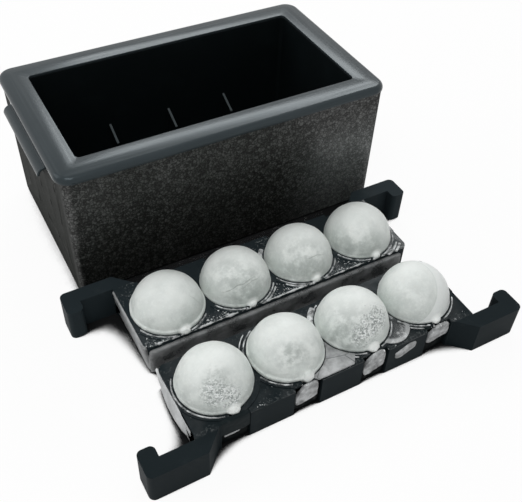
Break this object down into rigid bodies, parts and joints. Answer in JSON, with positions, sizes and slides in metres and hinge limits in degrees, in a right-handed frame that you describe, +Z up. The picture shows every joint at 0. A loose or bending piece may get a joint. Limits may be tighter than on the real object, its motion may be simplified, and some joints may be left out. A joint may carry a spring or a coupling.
{
  "type": "clear ice ball maker",
  "caption": "Open insulated freezing box with a lift-out water tank, and half-mould trays with rim hooks lying in front of it with their frozen ice balls.",
  "frame": {"origin": "centre of the foam box's bottom face, on the ground", "axes": "+X along the box to its right end, +Y from the trays towards the back of the box, +Z up"},
  "size_m": [0.3393, 0.38, 0.1328],
  "materials": {
    "foam": "dark grey bead foam with a fine pebbled skin",
    "tank": "smooth black, wet gloss",
    "rim": "mid grey, satin with a fine moulded texture",
    "tray": "charcoal, satin, wet on the parting face",
    "ice": "frosted clear ice"
  },
  "bodies": {
    "box": {"foam_box": "foam"},
    "liner": {"tank": "tank", "rim_frame": "rim"},
    "back_tray": {"back_tray": "tray"},
    "front_tray": {"front_tray": "tray"},
    "back_ball_1": {"back_ball_1": "ice"},
    "back_ball_2": {"back_ball_2": "ice"},
    "back_ball_3": {"back_ball_3": "ice"},
    "back_ball_4": {"back_ball_4": "ice"},
    "front_ball_1": {"front_ball_1": "ice"},
    "front_ball_2": {"front_ball_2": "ice"},
    "front_ball_3": {"front_ball_3": "ice"},
    "front_ball_4": {"front_ball_4": "ice"}
  },
  "joints": [
    {"name": "liner_lift", "type": "slide", "parent": "box", "child": "liner", "axis": [0, 0, 1], "range_m": [0, 0.15]},
    {"name": "back_tray_lift", "type": "slide", "parent": "box", "child": "back_tray", "axis": [0, 0, 1], "range_m": [0, 0.15]},
    {"name": "front_tray_lift", "type": "slide", "parent": "box", "child": "front_tray", "axis": [0, 0, 1], "range_m": [0, 0.15]},
    {"name": "back_ball_1_lift", "type": "slide", "parent": "back_tray", "child": "back_ball_1", "axis": [0, 0, 1], "range_m": [0, 0.07]},
    {"name": "back_ball_2_lift", "type": "slide", "parent": "back_tray", "child": "back_ball_2", "axis": [0, 0, 1], "range_m": [0, 0.07]},
    {"name": "back_ball_3_lift", "type": "slide", "parent": "back_tray", "child": "back_ball_3", "axis": [0, 0, 1], "range_m": [0, 0.07]},
    {"name": "back_ball_4_lift", "type": "slide", "parent": "back_tray", "child": "back_ball_4", "axis": [0, 0, 1], "range_m": [0, 0.07]},
    {"name": "front_ball_1_lift", "type": "slide", "parent": "front_tray", "child": "front_ball_1", "axis": [0, 0, 1], "range_m": [0, 0.07]},
    {"name": "front_ball_2_lift", "type": "slide", "parent": "front_tray", "child": "front_ball_2", "axis": [0, 0, 1], "range_m": [0, 0.07]},
    {"name": "front_ball_3_lift", "type": "slide", "parent": "front_tray", "child": "front_ball_3", "axis": [0, 0, 1], "range_m": [0, 0.07]},
    {"name": "front_ball_4_lift", "type": "slide", "parent": "front_tray", "child": "front_ball_4", "axis": [0, 0, 1], "range_m": [0, 0.07]}
  ]
}
